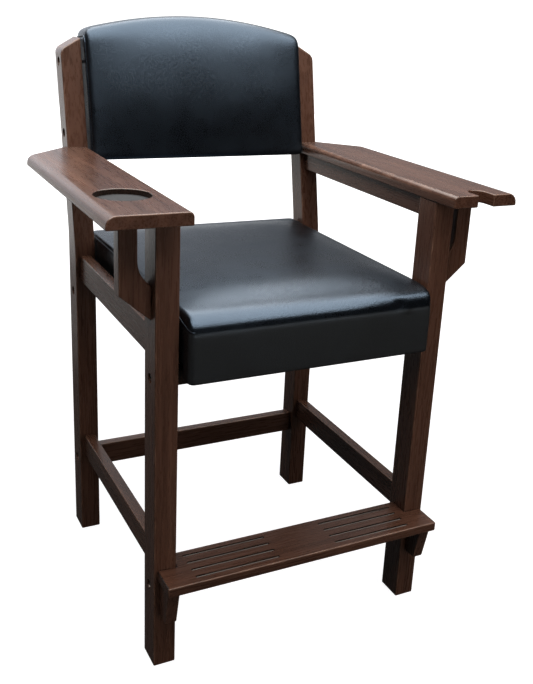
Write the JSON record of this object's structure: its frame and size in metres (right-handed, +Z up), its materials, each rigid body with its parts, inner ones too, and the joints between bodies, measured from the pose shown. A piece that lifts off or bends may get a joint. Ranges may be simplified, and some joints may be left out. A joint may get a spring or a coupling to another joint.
{
  "type": "billiard spectator chair",
  "caption": "Tall wooden spectator armchair with a black padded seat and back, a cup recess in one arm, a cue notch in the other and a fluted footrest.",
  "frame": {"origin": "middle of the bounding box at floor level", "axes": "+Z up; the chair faces -Y; +X is on the right of someone who stands in front of it and looks at it"},
  "size_m": [0.832, 0.7583, 1.2297],
  "materials": {
    "wood": "satin",
    "vinyl": "satin",
    "plywood": "matte",
    "lining": "matte",
    "steel": "satin",
    "brass": "satin",
    "coaster": "matte"
  },
  "bodies": {
    "root": {"arm_left": "wood", "arm_rail_left": "wood", "arm_rail_right": "wood", "arm_right": "wood", "back_core": "plywood", "back_cover": "vinyl", "back_cushion": "vinyl", "back_stretcher": "wood", "bolt_back_high_left": "steel", "bolt_back_high_right": "steel", "bolt_back_low_left": "steel", "bolt_back_low_right": "steel", "bolt_back_stretcher_left": "steel", "bolt_back_stretcher_right": "steel", "bolt_front_bearer_left": "steel", "bolt_front_bearer_right": "steel", "bolt_front_stretcher_left": "steel", "bolt_front_stretcher_right": "steel", "bolt_rear_bearer_left": "steel", "bolt_rear_bearer_right": "steel", "corbel_left": "wood", "corbel_right": "wood", "cup_coaster": "coaster", "footrest_board": "wood", "footrest_bracket_left": "wood", "footrest_bracket_right": "wood", "front_bearer": "wood", "front_leg_left": "wood", "front_leg_right": "wood", "front_stretcher": "wood", "insert_back_high_left": "brass", "insert_back_high_right": "brass", "insert_back_low_left": "brass", "insert_back_low_right": "brass", "insert_back_stretcher_left": "brass", "insert_back_stretcher_right": "brass", "insert_front_bearer_left": "brass", "insert_front_bearer_right": "brass", "insert_front_stretcher_left": "brass", "insert_front_stretcher_right": "brass", "insert_rear_bearer_left": "brass", "insert_rear_bearer_right": "brass", "rear_bearer": "wood", "rear_post_left": "wood", "rear_post_right": "wood", "seat_cushion": "vinyl", "seat_deck": "plywood", "seat_dust_cover": "lining", "seat_frame_front": "plywood", "seat_frame_left": "plywood", "seat_frame_rear": "plywood", "seat_frame_right": "plywood", "seat_side_rail_left": "wood", "seat_side_rail_right": "wood", "side_stretcher_left": "wood", "side_stretcher_right": "wood"}
  },
  "joints": []
}
